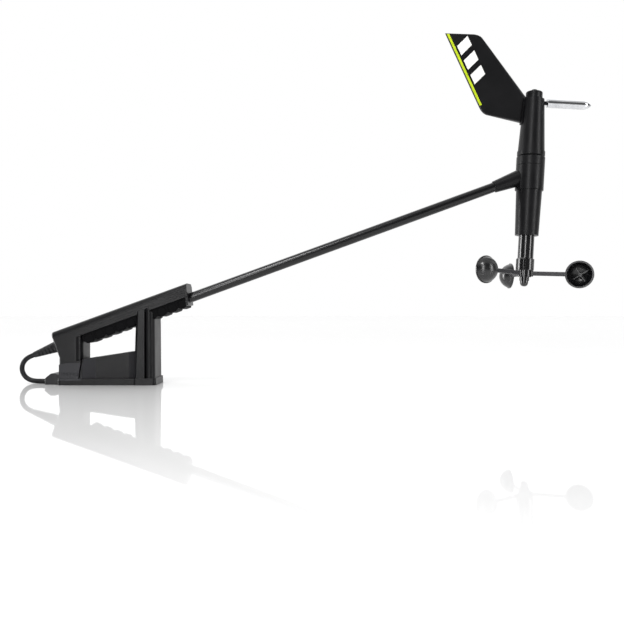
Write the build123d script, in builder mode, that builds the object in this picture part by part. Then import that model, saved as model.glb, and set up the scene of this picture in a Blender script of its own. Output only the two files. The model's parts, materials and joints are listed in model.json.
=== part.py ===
from build123d import *
from math import cos, pi, radians, sin, sqrt, tan
import os

# Masthead wind sensor: a screwed-down foot carries a long sloping arm, and the arm carries a sensor
# head with a wind vane on top and a three-cup rotor below. Millimetres, +Z up, and the origin is the
# centre of the mast screw pattern on the foot's underside. +X runs out along the arm, and the foot,
# arm and vane are symmetric about the plane Y = 0.

# ---- mast foot ----
foot_rear = -50.3
foot_front = 48.8
foot_half_width = 19.0
plate_height = 6.6
plate_corner = 3.0
block_rear = -48.8
block_half_width = 17.8
seam_rear_height = 20.8
seam_front_height = 25.4
leg_front = -26.0
web_top_rear = 26.0
web_top_front = 34.5
web_facet_front = -12.5
web_half_width = 15.0
web_step_start = 21.5
web_neck_half_width = 13.2
slot_width = 2.4
slot_depth = 3.2
slot_top_x = -25.2
slot_foot_x = -29.4
grip_notch_count = 12
grip_notch_pitch = 1.45
grip_notch_size = 0.7
grip_notch_height = 3.6
grip_notch_start = 3.4
grip_notch_level = 4.4
column_rear_foot = 26.6
column_rear_top = 29.2
column_front_top = 47.4
column_panel = 37.9
column_half_top = 18.9
column_rib_radius = 5.1
column_chamfer = 2.6
gable_peak_x = 39.8
gable_over_arm = 18.8
gable_rear_slope = 0.358
gable_front_slope = 0.7
plinth_height = 7.0
plinth_proud = 0.7
plinth_draft = 3.0
saddle_clearance = 0.2

# ---- mast screws ----
mast_screw_pitch_x = 34.0
mast_screw_pitch_y = 16.0
mast_screw_hole = 2.2
mast_screw_head = 4.3
mast_screw_floor = 6.0

# ---- arm and its housing ----
arm_tilt = 20.05
arm_height = 59.0
tube_radius = 5.0
tube_wall = 1.1
tube_start = 26.0
tube_end_gap = 12.0
arm_reach = 460.48
housing_rear = -56.5
housing_front = 87.3
housing_half_width = 17.0
housing_top = 14.3
housing_lower_edge = 1.3
housing_wall = 2.4
housing_corner = 5.8
housing_rear_chamfer = 1.1
cavity_start = -24.0
front_slant = 0.26
cap_thickness = 2.5
crease_width = 0.8
crease_depth = 0.5
crease_levels = ((8.1, -60.0), (5.7, -6.0), (3.5, 10.0))
leg_corner = 7.0
leg_overlap = 1.0
grip_start = -28.5
grip_half_width = 15.6
grip_core_depth = 7.2
grip_depth = 8.8
grip_end_radius = 4.2
rib_count = 10
rib_pitch = 11.2
rib_gap = 1.5
rib_proud = 0.6
rib_round = 1.5
rib_start = 1.2
rib_corner = 2.6
trough_length = 42.0
trough_half_width = 12.0
trough_floor = -6.0
sleeve_start = 30.0
sleeve_end = 78.0
sleeve_radius = 7.0
clamp_screw_radius = 1.5
clamp_screw_top = 9.0
clamp_screw_inset = 10.0
board_thickness = 1.6
board_length = 40.0
board_half_width = 10.5
board_post_inset = 4.0
board_post_side = 3.0
board_post_radius = 2.0
terminal_height = 4.2
terminal_length = 6.0
lead_radius = 1.5
leg_screw_radius = 1.5
leg_screw_head_radius = 2.8
leg_screw_head = 2.4
leg_screw_head_floor = 4.0
leg_screw_length = 34.0
leg_screw_x = -38.0
leg_screw_y = 9.0
screw_socket_radius = 1.2
screw_socket_depth = 1.2

# ---- mast cable, its plug and its boot ----
cable_radius = 2.5
bend_share = 0.45
plug_tip = -85.5
plug_tip_radius = 3.0
plug_root = -60.5
plug_root_radius = 6.0
plug_rib_count = 6
plug_rib_start = 2.0
plug_groove_width = 1.1
plug_groove_depth = 0.9
plug_nose_radius = 4.0
plug_nose_end = -50.0
coupling_radius = 6.5
coupling_gap = 0.5
socket_end = -40.0
boot_rear = -66.0
boot_half_width = 12.0
boot_nose_height = 5.6
boot_shoulder_x = -59.2
boot_height = 11.2
boot_crest_x = -55.0
boot_crest_drop = 1.4
boot_corner = 3.0

# ---- sensor head, along its own axis: heights are above the rotor's plane ----
head_level_at_arm = 103.02
head_tilt = 3.1
neck_radius = 7.9
neck_bore = 5.0
neck_bottom = 15.7
neck_top = 50.0
cone_bottom = 39.2
cone_bottom_radius = 11.8
body_bottom = 85.9
cone_top_radius = 13.0
cone_wall = 2.2
body_radius = 14.3
body_top = 111.0
body_floor = 95.0
ring_top = 120.5
ring_chamfer = 0.5
turning_groove = 0.8
bearing_tube_radius = 7.5
bearing_tube_top = 160.0
bearing_height = 4.0
rotor_bearing_levels = (19.0, 40.0)
vane_bearing_levels = (100.0, 154.0)
bearing_clearance = 0.05
turning_gap = 0.3
magnet_radius = 4.2
magnet_height = 3.0
magnet_gap = 1.5
sensor_board_height = 1.4
seal_height = 1.6
seal_width = 1.2

# ---- arm socket on the head ----
socket_length = 27.4
socket_lip = 0.95
socket_tip_radius = tube_radius + socket_lip
socket_half_angle = 5.3

# ---- vane ----
vane_shaft_radius = 2.5
vane_shaft_bottom = 96.0
vane_shaft_top = 184.0
vane_skirt_radius = 14.0
vane_skirt_top = 125.8
vane_hub_radius = 13.4
vane_hub_top_radius = 10.5
vane_hub_top = 180.0
vane_hub_bore = 9.0
vane_hub_crown = 10.0
vane_cap_radius = 8.4
vane_cap_top = 188.0
vane_cap_edge = 1.6
cap_screw_radius = 3.0
cap_screw_shank = 1.5
cap_screw_height = 2.2
cap_screw_edge = 0.7
cap_screw_socket_depth = 1.4
saddle_plate = 1.3
saddle_bottom = 154.0
saddle_angle = 40.0
blade_edge_half = 0.55
blade_root_half = 2.6
blade_taper_width = 52.0
blade_rise = 0.045
blade_reach = 136.0
blade_nose = 3.4
blade_tip = (-95.4, 243.5)
blade_heel = (-56.4, 169.4)
blade_nose_head = (-50.7, 233.0)
blade_nose_foot = (-8.5, 181.7)
blade_crown = (-67.3, 243.5)
blade_shoulder = (-6.0, 178.0)
blade_root_foot = (-8.0, 154.7)
blade_belly = (-46.9, 161.4)
stripe_inset = 1.0
stripe_width = 2.3
stripe_end_gap = 0.7
marking_relief = 0.2
mark_count = 3
mark_inset = 5.4
mark_width = 14.0
mark_height = 10.5
mark_pitch = 16.5
mark_start = 23.0
mark_slant = 5.0
stem_height = 177.0
stem_radius = 2.0
stem_inner = 6.0
weight_start = 13.4
weight_end = 59.6
weight_radius = 4.5
weight_point = 10.0
weight_socket = 6.0
weight_edge = 0.4

# ---- cup rotor ----
cup_circle = 54.0
cup_angles = (-27.7, -147.7, 92.3)
cup_rim_radius = 13.35
cup_depth = 11.8
cup_wall = 1.2
cup_lip = 0.5
cup_lip_depth = 1.2
cup_ahead = 2.4
cup_rib_half_length = 8.4
cup_rib_width = 0.9
cup_rib_level = 7.6
cup_rib_turn = 35.0
cup_boss_radius = 1.6
cup_boss_level = 6.6
arm_bar_height = 4.4
arm_bar_width = 2.8
arm_bar_corner = 0.9
arm_bar_start = 4.6
rotor_shaft_radius = 2.0
rotor_shaft_bottom = -7.0
rotor_shaft_top = 48.5
hub_ring_radius = 6.8
hub_ring_bottom = -3.8
hub_barrel_bottom = 3.2
hub_barrel_radius = 9.1
hub_barrel_top = 15.4
hub_chamfer = 0.9
hub_root_radius = 3.0
hub_root_circle = 5.7
hub_root_bottom = -3.2
hub_flute_count = 6
hub_flute_radius = 1.7
grub_radius = 1.5
grub_height = 9.0
grub_length = 5.0
nose_collar_radius = 4.9
nose_collar_bottom = -7.8
nose_radius = 4.1
nose_shoulder = -9.2
nose_tip = -13.6

# ---- frames of the tilted pieces ----
side = Plane.XZ
upright = (Align.CENTER, Align.CENTER, Align.MIN)
arm_cos = cos(radians(arm_tilt))
arm_sin = sin(radians(arm_tilt))
arm_direction = Vector(arm_cos, 0, arm_sin)
arm_origin = Vector(0, 0, arm_height)
gable_peak_height = arm_height + gable_over_arm
arm_side = Plane(origin=(0, 0, arm_height), x_dir=arm_direction, z_dir=(0, -1, 0))
arm_axis = Axis((0, 0, arm_height), arm_direction)
head_cos = cos(radians(head_tilt))
head_sin = sin(radians(head_tilt))
head_up = Vector(head_sin, 0, head_cos)
head_right = Vector(head_cos, 0, -head_sin)
head_origin = arm_origin + arm_direction * arm_reach - head_up * head_level_at_arm
tube_end = arm_reach - tube_end_gap
socket_start = tube_end - socket_length
head_side = Plane(origin=head_origin, x_dir=head_right, z_dir=(0, -1, 0))
head_axis = Axis(head_origin, head_up)
stem_axis = Axis(head_origin + head_up * stem_height, head_right)


def arm_point(along, above):
    """A point of the arm's own side view as X and Z of the whole."""
    return (
        along * arm_cos - above * arm_sin,
        arm_height + along * arm_sin + above * arm_cos,
    )


def arm_section(along):
    """The plane across the arm: its x is Y of the whole, and its y points up from the arm."""
    return Plane(origin=arm_origin + arm_direction * along, x_dir=(0, 1, 0), z_dir=arm_direction)


def arm_floor(along, above):
    """The plane along the arm at a height over its axis: its x runs out along the arm, its z points up."""
    rise = Vector(-arm_sin, 0, arm_cos)
    return Plane(origin=arm_origin + arm_direction * along + rise * above, x_dir=arm_direction, z_dir=rise)


def head_section(level):
    """The plane across the head's axis at a level above the rotor's plane."""
    return Plane(origin=head_origin + head_up * level, x_dir=head_right, z_dir=head_up)


def rotor_direction(angle):
    """A direction across the head's axis, at an angle from the side that faces away from the mast."""
    return head_right * cos(radians(angle)) + Vector(0, 1, 0) * sin(radians(angle))


def fill(plane, *points):
    """A closed straight-sided profile on a plane."""
    with BuildSketch(plane) as profile:
        with BuildLine():
            Polyline(*points, close=True)
        make_face()
    return profile.sketch


def turn_on_arm(*points, mode=Mode.ADD):
    """A turned shape about the arm's axis, from (distance along, radius) points."""
    revolve(fill(arm_side, *points), axis=arm_axis, mode=mode)


def turn_on_head(*points, mode=Mode.ADD):
    """A turned shape about the head's axis, from (radius, level) points."""
    revolve(fill(head_side, *points), axis=head_axis, mode=mode)


def ring_on_head(inner, outer, bottom, top, mode=Mode.ADD):
    turn_on_head((inner, bottom), (outer, bottom), (outer, top), (inner, top), mode=mode)


def rod_on_arm(inner, outer, start, end, mode=Mode.ADD):
    turn_on_arm((start, inner), (end, inner), (end, outer), (start, outer), mode=mode)


def save(part, name):
    part.label = name
    export_step(part, f"parts/{name}.step")
    print(name, round(part.volume, 1))


os.makedirs("parts", exist_ok=True)


# ---- mast foot: plate, rear block, web, column with a saddle for the arm's housing ----
def column_section(height, rear, front, half):
    """The column's core at one height, without its two round front ribs."""
    inner = half - column_rib_radius
    with BuildSketch(Plane.XY.offset(height)) as profile:
        with BuildLine():
            Polyline(
                (rear, column_chamfer - half),
                (rear + column_chamfer, -half),
                (column_panel, -half),
                (column_panel, -inner),
                (front, -inner),
                (front, inner),
                (column_panel, inner),
                (column_panel, half),
                (rear + column_chamfer, half),
                (rear, half - column_chamfer),
                close=True,
            )
        make_face()
    return profile.sketch


saddle_level = -grip_depth
with BuildPart() as mast_foot:
    profile = fill(
        Plane.XY,
        (block_rear, -block_half_width),
        (slot_top_x, -block_half_width),
        (web_facet_front, -web_half_width),
        (web_step_start, -web_half_width),
        (column_rear_top, -web_neck_half_width),
        (column_rear_top, web_neck_half_width),
        (web_step_start, web_half_width),
        (web_facet_front, web_half_width),
        (slot_top_x, block_half_width),
        (block_rear, block_half_width),
    )
    extrude(profile, amount=web_top_front + plate_height)
    profile = fill(
        side,
        (block_rear, 0),
        (block_rear, seam_rear_height),
        (leg_front, seam_front_height),
        (leg_front, web_top_rear),
        (column_rear_top, web_top_front),
        (column_rear_top, 0),
    )
    extrude(profile, amount=foot_half_width, both=True, mode=Mode.INTERSECT)
    # the slanting slots that part the block from the web
    for edge in (-1, 1):
        profile = fill(
            side.offset(edge * block_half_width),
            (slot_foot_x, plate_height),
            (slot_foot_x + slot_width, plate_height),
            (slot_top_x + slot_width, web_top_front),
            (slot_top_x, web_top_front),
        )
        extrude(profile, amount=-edge * slot_depth, mode=Mode.SUBTRACT)
    # a row of small upright notches low on the block's sides
    for number in range(grip_notch_count):
        notch_x = block_rear + grip_notch_start + number * grip_notch_pitch
        for edge in (-1, 1):
            with Locations((notch_x, edge * block_half_width, plate_height + grip_notch_level)):
                Box(grip_notch_size, grip_notch_size, grip_notch_height, mode=Mode.SUBTRACT)
    # the plate
    with BuildSketch(Plane.XY):
        with Locations(((foot_rear + foot_front) / 2, 0)):
            RectangleRounded(foot_front - foot_rear, 2 * foot_half_width, plate_corner)
    extrude(amount=plate_height)
    # the column and its plinth
    foot_section = column_section(0, column_rear_foot, foot_front - plinth_proud, foot_half_width)
    top_section = column_section(gable_peak_height, column_rear_top, column_front_top, column_half_top)
    loft(sections=[foot_section, top_section])
    for edge in (-1, 1):
        for height, front, half in (
            (0, foot_front - plinth_proud, foot_half_width),
            (gable_peak_height, column_front_top, column_half_top),
        ):
            with BuildSketch(Plane.XY.offset(height)):
                with Locations((front - column_rib_radius, edge * (half - column_rib_radius))):
                    Circle(column_rib_radius)
        loft()
    with BuildSketch(Plane.XY):
        with Locations(((column_rear_foot + foot_front) / 2, 0)):
            RectangleRounded(
                foot_front - column_rear_foot + 2 * plinth_proud,
                2 * (foot_half_width + plinth_proud),
                plate_corner,
            )
    extrude(amount=plinth_height, taper=plinth_draft)
    # the column's top is a gable, and the arm's housing lies in it between two cheeks
    profile = fill(
        side,
        (0, gable_peak_height - gable_peak_x * gable_rear_slope),
        (gable_peak_x, gable_peak_height),
        (2 * foot_front, gable_peak_height - (2 * foot_front - gable_peak_x) * gable_front_slope),
        (2 * foot_front, 2 * gable_peak_height),
        (0, 2 * gable_peak_height),
    )
    extrude(profile, amount=2 * foot_half_width, both=True, mode=Mode.SUBTRACT)
    profile = fill(
        side,
        arm_point(0, saddle_level),
        arm_point(2 * foot_front, saddle_level),
        arm_point(2 * foot_front, 2 * foot_front),
        arm_point(0, 2 * foot_front),
    )
    extrude(profile, amount=housing_half_width + saddle_clearance, both=True, mode=Mode.SUBTRACT)
    # four screws go down through the web into the masthead
    with GridLocations(mast_screw_pitch_x, mast_screw_pitch_y, 2, 2):
        Cylinder(mast_screw_hole, mast_screw_floor, align=upright, mode=Mode.SUBTRACT)
        with Locations((0, 0, mast_screw_floor)):
            Cylinder(mast_screw_head, web_top_front, align=upright, mode=Mode.SUBTRACT)
    # two screws come up from below into the housing's leg
    with Locations((leg_screw_x, -leg_screw_y, 0), (leg_screw_x, leg_screw_y, 0)):
        leg_counterbore = leg_screw_head_floor + leg_screw_head
        Cylinder(leg_screw_head_radius, leg_counterbore, align=upright, mode=Mode.SUBTRACT)
        Cylinder(leg_screw_radius, leg_screw_length, align=upright, mode=Mode.SUBTRACT)
save(mast_foot.part, "mast_foot")

with BuildPart() as leg_screws:
    with Locations(
        (leg_screw_x, -leg_screw_y, leg_screw_head_floor),
        (leg_screw_x, leg_screw_y, leg_screw_head_floor),
    ):
        Cylinder(leg_screw_head_radius, leg_screw_head, align=upright)
        Cylinder(leg_screw_radius, leg_screw_length, align=upright)
        Cylinder(screw_socket_radius, screw_socket_depth, align=upright, mode=Mode.SUBTRACT)
save(leg_screws.part, "leg_screws")


# ---- arm housing: a long moulded cover with a rear leg, a ribbed grip below and a front cap ----
def cover_section(along, length):
    """The cover's outer shape: flat sides and two well-rounded top edges."""
    height = housing_top - housing_lower_edge
    with BuildSketch(arm_section(along)) as profile:
        with Locations((0, housing_lower_edge + height / 2)):
            Rectangle(2 * housing_half_width, height)
        with Locations((0, housing_lower_edge + height / 2 - housing_corner)):
            RectangleRounded(
                2 * housing_half_width, height + 2 * housing_corner, housing_corner, mode=Mode.INTERSECT
            )
    extrude(profile.sketch, amount=length)


def cut_at_slant(front, side_of_cut):
    """Cut away what stands ahead of the slanted front plane, or behind it where side_of_cut is -1."""
    reach = 4 * housing_top
    profile = fill(
        side,
        arm_point(front - (housing_top + reach) * front_slant, -reach),
        arm_point(front + (reach - housing_top) * front_slant, reach),
        arm_point(front + side_of_cut * 2 * reach, reach),
        arm_point(front + side_of_cut * 2 * reach, -reach),
    )
    extrude(profile, amount=2 * housing_half_width, both=True, mode=Mode.SUBTRACT)


def grip_bar(mode=Mode.ADD):
    """The grip's bar, with a round rear end."""
    with BuildSketch(arm_side) as profile:
        with Locations(((grip_start + housing_front) / 2, (housing_lower_edge - grip_core_depth) / 2)):
            RectangleRounded(
                housing_front - grip_start, housing_lower_edge + grip_core_depth, grip_end_radius
            )
        with Locations((housing_front, (housing_lower_edge - grip_core_depth) / 2)):
            Rectangle(4 * grip_end_radius, housing_lower_edge + grip_core_depth)
        with Locations((0, housing_lower_edge - grip_end_radius / 2)):
            Rectangle(-2 * grip_start - 2 * grip_end_radius, grip_end_radius)
    extrude(profile.sketch, amount=grip_half_width, both=True, mode=mode)


with BuildPart() as arm_housing:
    cover_section(housing_rear, housing_front - housing_rear)
    with BuildPart(mode=Mode.PRIVATE) as leg:
        profile = fill(
            side,
            arm_point(housing_rear, housing_lower_edge + leg_overlap),
            arm_point(housing_rear, (housing_rear * arm_cos - block_rear) / arm_sin),
            (block_rear, seam_rear_height),
            (leg_front, seam_front_height),
            (leg_front, arm_point(grip_start, housing_lower_edge + leg_overlap)[1]),
        )
        extrude(profile, amount=housing_half_width, both=True)
        fillet(leg.edges().filter_by(Axis.Z).group_by(Axis.X)[-1], radius=leg_corner)
    add(leg.part)
    cut_at_slant(housing_front, 1)
    # the chamfer runs round the rear face and on down the leg's two rear edges
    rear_faces = arm_housing.faces().filter_by(lambda f: f.normal_at().dot(arm_direction) < -0.99)
    rear_edges = rear_faces.edges().sort_by(Axis.Z)[1:]
    leg_edges = arm_housing.edges().filter_by(Axis.Z).group_by(Axis.X)[0]
    chamfer(rear_edges + leg_edges, length=housing_rear_chamfer)
    # creases along the sides
    for level, start in crease_levels:
        for edge in (-1, 1):
            with BuildSketch(arm_section(start)):
                with Locations((edge * housing_half_width, level)):
                    Rectangle(2 * crease_depth, crease_width)
            extrude(amount=2 * housing_front, mode=Mode.SUBTRACT)
    # the hollow over the grip
    with BuildSketch(arm_section(cavity_start)):
        with Locations((0, (housing_top - housing_wall) / 2)):
            Rectangle(2 * (housing_half_width - housing_wall), housing_top - housing_wall)
    extrude(amount=housing_front - cavity_start, mode=Mode.SUBTRACT)
    grip_bar(mode=Mode.SUBTRACT)
    # the rear socket's seat, the lead's passage and the two leg screws
    rod_on_arm(0, coupling_radius, housing_rear, socket_end, mode=Mode.SUBTRACT)
    rod_on_arm(0, lead_radius, socket_end, cavity_start, mode=Mode.SUBTRACT)
    with Locations((leg_screw_x, -leg_screw_y, 0), (leg_screw_x, leg_screw_y, 0)):
        Cylinder(leg_screw_radius, leg_screw_head_floor + leg_screw_length, align=upright, mode=Mode.SUBTRACT)
save(arm_housing.part, "arm_housing")

with BuildPart() as rib_grip:
    grip_bar()
    # ten cushion-like ribs stand out a little from the bar, below and at both sides
    for number in range(rib_count):
        middle = grip_start + rib_start + (number + 0.5) * rib_pitch
        with BuildPart(mode=Mode.PRIVATE) as rib:
            with BuildSketch(arm_side):
                with Locations((middle, -grip_depth / 2)):
                    RectangleRounded(rib_pitch - rib_gap, grip_depth, rib_corner)
            extrude(amount=grip_half_width + rib_proud, both=True)
            fillet(rib.faces().filter_by(Axis.Y).edges(), radius=rib_round)
        add(rib.part)
    cut_at_slant(housing_front, 1)
    with BuildSketch(arm_section(-trough_length / 2)):
        with Locations((0, trough_floor / 2 + housing_lower_edge)):
            Rectangle(2 * trough_half_width, 2 * housing_lower_edge - trough_floor)
    extrude(amount=trough_length, mode=Mode.SUBTRACT)
    # posts that the terminal board lies on
    for along in (board_post_inset - board_length / 2, board_length / 2 - board_post_inset):
        for edge in (-1, 1):
            with BuildSketch(arm_floor(along, trough_floor)):
                with Locations((0, edge * (board_half_width - board_post_side))):
                    Circle(board_post_radius)
            extrude(amount=-trough_floor - board_thickness / 2)
    rod_on_arm(0, sleeve_radius, sleeve_start, sleeve_end, mode=Mode.SUBTRACT)
    rod_on_arm(0, tube_radius, tube_start, 2 * housing_front, mode=Mode.SUBTRACT)
    rod_on_arm(0, lead_radius, 2 * grip_start, tube_start, mode=Mode.SUBTRACT)
save(rib_grip.part, "rib_grip")

with BuildPart() as front_cap:
    cover_section(housing_front - 4 * cap_thickness, 6 * cap_thickness)
    with BuildSketch(arm_section(housing_front - 8 * cap_thickness)):
        with Locations((0, (housing_lower_edge - grip_core_depth) / 2)):
            Rectangle(2 * grip_half_width, housing_lower_edge + grip_core_depth)
    extrude(amount=12 * cap_thickness)
    cut_at_slant(housing_front + cap_thickness, 1)
    cut_at_slant(housing_front, -1)
    rod_on_arm(0, tube_radius, 0, 2 * housing_front, mode=Mode.SUBTRACT)
save(front_cap.part, "front_cap")

with BuildPart() as terminal_board:
    with BuildSketch(arm_section(-board_length / 2)):
        Rectangle(2 * board_half_width, board_thickness)
    extrude(amount=board_length)
    with BuildSketch(arm_section(board_length / 2 - terminal_length)):
        with Locations((0, (board_thickness + terminal_height) / 2)):
            Rectangle(board_half_width, terminal_height)
    extrude(amount=terminal_length)
save(terminal_board.part, "terminal_board")

with BuildPart() as arm_tube:
    rod_on_arm(tube_radius - tube_wall, tube_radius, tube_start, tube_end)
save(arm_tube.part, "arm_tube")

clamp_screw_places = (sleeve_start + clamp_screw_inset, sleeve_end - clamp_screw_inset)
with BuildPart() as clamp_sleeve:
    rod_on_arm(tube_radius, sleeve_radius, sleeve_start, sleeve_end)
    for along in clamp_screw_places:
        with BuildSketch(arm_floor(along, 0)):
            Circle(clamp_screw_radius)
        extrude(amount=sleeve_radius, mode=Mode.SUBTRACT)
save(clamp_sleeve.part, "clamp_sleeve")

with BuildPart() as clamp_screws:
    for along in clamp_screw_places:
        with BuildSketch(arm_floor(along, tube_radius)):
            Circle(clamp_screw_radius)
        extrude(amount=clamp_screw_top - tube_radius)
save(clamp_screws.part, "clamp_screws")

with BuildPart() as signal_lead:
    rod_on_arm(0, lead_radius, board_length / 2, tube_end)
save(signal_lead.part, "signal_lead")

with BuildPart() as socket_lead:
    rod_on_arm(0, lead_radius, socket_end, -board_length / 2)
save(socket_lead.part, "socket_lead")

# ---- cable plug, its socket in the housing, the cable and the boot behind the foot ----
with BuildPart() as rear_socket:
    rod_on_arm(0, coupling_radius, housing_rear, socket_end)
    rod_on_arm(0, plug_nose_radius, housing_rear, plug_nose_end, mode=Mode.SUBTRACT)
save(rear_socket.part, "rear_socket")

with BuildPart() as plug_coupling:
    rod_on_arm(plug_nose_radius, coupling_radius, plug_root, housing_rear - coupling_gap)
save(plug_coupling.part, "plug_coupling")

plug_pitch = (plug_root - plug_tip - plug_rib_start) / plug_rib_count
plug_outline = [(plug_tip, 0), (plug_tip, plug_tip_radius)]
for number in range(plug_rib_count):
    start = plug_tip + plug_rib_start + number * plug_pitch
    for along, drop in (
        (start, 0),
        (start, plug_groove_depth * (number > 0)),
        (start + plug_groove_width, plug_groove_depth * (number > 0)),
        (start + plug_groove_width, 0),
    ):
        share = (along - plug_tip) / (plug_root - plug_tip)
        radius = plug_tip_radius + share * (plug_root_radius - plug_tip_radius) - drop
        if plug_outline[-1] != (along, radius):
            plug_outline.append((along, radius))
plug_outline += [
    (plug_root, plug_root_radius),
    (plug_root, plug_nose_radius),
    (plug_nose_end, plug_nose_radius),
    (plug_nose_end, 0),
]
with BuildPart() as cable_plug:
    turn_on_arm(*plug_outline)
save(cable_plug.part, "cable_plug")

cable_exit = arm_point(plug_tip, 0)
cable_route = [
    Vector(cable_exit[0], 0, cable_exit[1]),
    Vector(-85.2, 0, 27.9),
    Vector(-90.7, 0.2, 23.9),
    Vector(-93.6, 0.6, 17.9),
    Vector(-93.1, 0.9, 11.4),
    Vector(-89.5, 0.9, 6.1),
    Vector(-84.0, 0.6, 3.2),
    Vector(-77.9, 0.4, cable_radius),
    Vector(-71.9, 0, cable_radius),
    Vector(boot_rear, 0, cable_radius),
]
cable_runs = [after - before for before, after in zip(cable_route, cable_route[1:])]
cable_radii = [
    bend_share * min(before.length, after.length) / tan(radians(before.get_angle(after) / 2))
    for before, after in zip(cable_runs, cable_runs[1:])
]
print("cable bend radii", [round(radius, 1) for radius in cable_radii])
with BuildPart() as mast_cable:
    with BuildLine() as cable_path:
        FilletPolyline(*cable_route, radius=cable_radii)
    with BuildSketch(Plane(origin=cable_route[0], z_dir=cable_runs[0])):
        Circle(cable_radius)
    sweep(path=cable_path.wires()[0])
cable_length = cable_path.wires()[0].length
cable_section = pi * cable_radius**2
volume_share = mast_cable.part.volume / cable_length / cable_section
print("cable length", round(cable_length, 2), "volume share", round(volume_share, 4))
save(mast_cable.part, "mast_cable")

with BuildPart() as cable_boot:
    profile = fill(
        side,
        (boot_rear, 0),
        (boot_rear, boot_nose_height),
        (boot_shoulder_x, boot_height),
        (boot_crest_x, boot_height),
        (foot_rear, boot_height - boot_crest_drop),
        (foot_rear, 0),
    )
    extrude(profile, amount=boot_half_width, both=True)
    fillet(cable_boot.edges().filter_by(Axis.Z).group_by(Axis.X)[0], radius=boot_corner)
save(cable_boot.part, "cable_boot")

# ---- sensor head: the standing pieces ----
with BuildPart() as spindle_tube:
    ring_on_head(neck_bore, neck_radius, neck_bottom, neck_top)
save(spindle_tube.part, "spindle_tube")

cone_inner_top = cone_top_radius - cone_wall
cone_inner_bottom = cone_bottom_radius - cone_wall
with BuildPart() as lower_cone:
    turn_on_head(
        (neck_radius, cone_bottom),
        (cone_bottom_radius, cone_bottom),
        (cone_top_radius, body_bottom),
        (cone_inner_top, body_bottom),
        (cone_inner_bottom, neck_top),
        (neck_radius, neck_top),
    )
save(lower_cone.part, "lower_cone")

seal_share = seal_height / (body_bottom - neck_top)
with BuildPart() as body_seal:
    turn_on_head(
        (cone_inner_top - seal_width, body_bottom - seal_height),
        (cone_inner_top - seal_share * (cone_inner_top - cone_inner_bottom), body_bottom - seal_height),
        (cone_inner_top, body_bottom),
        (cone_inner_top - seal_width, body_bottom),
    )
save(body_seal.part, "body_seal")

with BuildPart() as rotor_sensor_board:
    ring_on_head(0, cone_inner_bottom, neck_top, neck_top + sensor_board_height)
save(rotor_sensor_board.part, "rotor_sensor_board")

with BuildPart() as centre_body:
    ring_on_head(bearing_tube_radius, body_radius, body_floor, body_top)
    ring_on_head(cone_inner_top, body_radius, body_bottom, body_floor)
    rod_on_arm(0, tube_radius, socket_start, tube_end, mode=Mode.SUBTRACT)
save(centre_body.part, "centre_body")

with BuildPart() as collar_ring:
    turn_on_head(
        (bearing_tube_radius, body_top),
        (body_radius - ring_chamfer, body_top),
        (body_radius, body_top + ring_chamfer),
        (body_radius, ring_top - turning_groove),
        (body_radius - turning_groove, ring_top),
        (bearing_tube_radius, ring_top),
    )
save(collar_ring.part, "collar_ring")

with BuildPart() as arm_socket:
    turn_on_arm(
        (socket_start, tube_radius),
        (tube_end, tube_radius),
        (tube_end, socket_tip_radius + socket_length * tan(radians(socket_half_angle))),
        (socket_start, socket_tip_radius),
    )
    ring_on_head(0, body_radius, body_bottom - body_radius, ring_top + body_radius, mode=Mode.SUBTRACT)
save(arm_socket.part, "arm_socket")

with BuildPart() as bearing_tube:
    ring_on_head(neck_bore, bearing_tube_radius, body_floor, bearing_tube_top)
save(bearing_tube.part, "bearing_tube")

for level, name in zip(rotor_bearing_levels, ("rotor_bearing_lower", "rotor_bearing_upper")):
    with BuildPart() as bearing:
        ring_on_head(rotor_shaft_radius + bearing_clearance, neck_bore, level, level + bearing_height)
    save(bearing.part, name)

for level, name in zip(vane_bearing_levels, ("vane_bearing_lower", "vane_bearing_upper")):
    with BuildPart() as bearing:
        ring_on_head(vane_shaft_radius + bearing_clearance, neck_bore, level, level + bearing_height)
    save(bearing.part, name)

vane_magnet_bottom = vane_shaft_bottom - magnet_height
with BuildPart() as vane_sensor_board:
    board_top = vane_magnet_bottom - magnet_gap
    ring_on_head(0, cone_inner_top, board_top - sensor_board_height, board_top)
save(vane_sensor_board.part, "vane_sensor_board")

# ---- vane: everything that turns on the upper shaft ----
with BuildPart() as vane_shaft:
    ring_on_head(0, vane_shaft_radius, vane_shaft_bottom, vane_shaft_top)
save(vane_shaft.part, "vane_shaft")

with BuildPart() as vane_magnet:
    ring_on_head(0, magnet_radius, vane_magnet_bottom, vane_shaft_bottom)
save(vane_magnet.part, "vane_magnet")


def hub_radius_at(level):
    """The vane hub's outer radius at a level."""
    share = (level - vane_skirt_top) / (vane_hub_top - vane_skirt_top)
    return vane_hub_radius + share * (vane_hub_top_radius - vane_hub_radius)


with BuildPart() as vane_hub:
    turn_on_head(
        (vane_hub_bore, ring_top + turning_gap),
        (vane_skirt_radius - turning_groove, ring_top + turning_gap),
        (vane_skirt_radius, ring_top + turning_gap + turning_groove),
        (vane_skirt_radius, vane_skirt_top),
        (vane_hub_radius, vane_skirt_top),
        (vane_hub_top_radius, vane_hub_top),
        (vane_shaft_radius, vane_hub_top),
        (vane_shaft_radius, vane_hub_top - vane_hub_crown),
        (vane_hub_bore, vane_hub_top - vane_hub_crown),
    )
    with BuildSketch(Plane(origin=stem_axis.position, z_dir=head_right).offset(stem_inner)):
        Circle(stem_radius)
    extrude(amount=vane_hub_radius, mode=Mode.SUBTRACT)
save(vane_hub.part, "vane_hub")

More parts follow.
